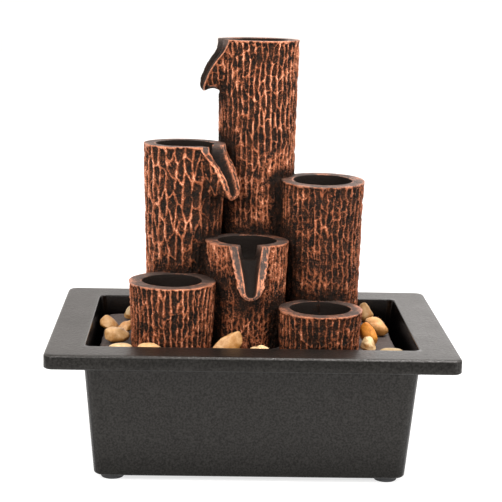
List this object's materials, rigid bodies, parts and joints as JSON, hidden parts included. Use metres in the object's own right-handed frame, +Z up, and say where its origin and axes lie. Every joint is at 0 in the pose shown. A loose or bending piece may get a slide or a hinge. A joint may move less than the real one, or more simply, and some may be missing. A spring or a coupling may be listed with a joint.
{
  "type": "tabletop water fountain",
  "caption": "Rectangular basin with a wide flat rim, holding a tiered sculpture of upright log-shaped cups with spouts, river pebbles, and a submersible pump.",
  "frame": {"origin": "on the surface that the feet stand on, under the middle of the basin", "axes": "+Z up, the front faces -Y, +X to the right seen from the front"},
  "size_m": [0.2114, 0.155, 0.2269],
  "materials": {
    "basin_plastic": "fine satin moulded texture",
    "foot_rubber": "matte black",
    "bronze_resin": "painted dark brown, dry-brushed copper on the ridges of the bark",
    "deck_resin": "matte dark brown cast surface",
    "river_pebble": "water-worn, satin",
    "hose_pvc": "soft translucent PVC",
    "pump_plastic": "black moulded",
    "lamination_steel": "stacked laminations",
    "copper_winding": "enamelled copper wire",
    "epoxy": "cast black epoxy",
    "ferrite": "ground ferrite",
    "rotor_plastic": "white moulded",
    "shaft_ceramic": "polished alumina",
    "seal_rubber": "red-brown silicone",
    "dial_plastic": "grey moulded"
  },
  "bodies": {
    "basin": {"basin": "basin_plastic", "foot_front_left": "foot_rubber", "foot_front_right": "foot_rubber", "foot_rear_left": "foot_rubber", "foot_rear_right": "foot_rubber", "pump_housing": "pump_plastic", "stator_core": "lamination_steel", "stator_coil": "copper_winding", "potting": "epoxy", "rotor_shaft": "shaft_ceramic", "rear_bush": "foot_rubber", "front_bush": "foot_rubber", "volute_cover": "pump_plastic", "seal_ring": "seal_rubber", "suction_cups": "foot_rubber", "cable_gland": "foot_rubber"},
    "sculpture": {"deck": "deck_resin", "tall_log": "bronze_resin", "upper_left_log": "bronze_resin", "right_log": "bronze_resin", "centre_log": "bronze_resin", "left_front_log": "bronze_resin", "right_front_log": "bronze_resin", "pebbles_left": "river_pebble", "pebbles_middle": "river_pebble", "pebbles_right": "river_pebble", "pebbles_rear": "river_pebble", "supply_hose": "hose_pvc", "outlet_nipple": "pump_plastic"},
    "rotor": {"rotor_magnet": "ferrite", "impeller": "rotor_plastic"},
    "strainer": {"intake_cover": "pump_plastic"},
    "dial": {"flow_dial": "dial_plastic"}
  },
  "joints": [
    {"name": "sculpture_lift", "type": "slide", "parent": "basin", "child": "sculpture", "axis": [0, 0, 1], "range_m": [0, 0.075]},
    {"name": "rotor_spin", "type": "hinge", "parent": "basin", "child": "rotor", "pos_m": [0.0125, 0.028, 0.0255], "axis": [1, 0, 0], "continuous": true},
    {"name": "intake_pull", "type": "slide", "parent": "basin", "child": "strainer", "axis": [-1, 0, 0], "range_m": [0, 0.015]},
    {"name": "flow_dial_turn", "type": "hinge", "parent": "strainer", "child": "dial", "pos_m": [-0.016, 0.028, 0.0255], "axis": [1, 0, 0], "range_deg": [0, 45]}
  ]
}
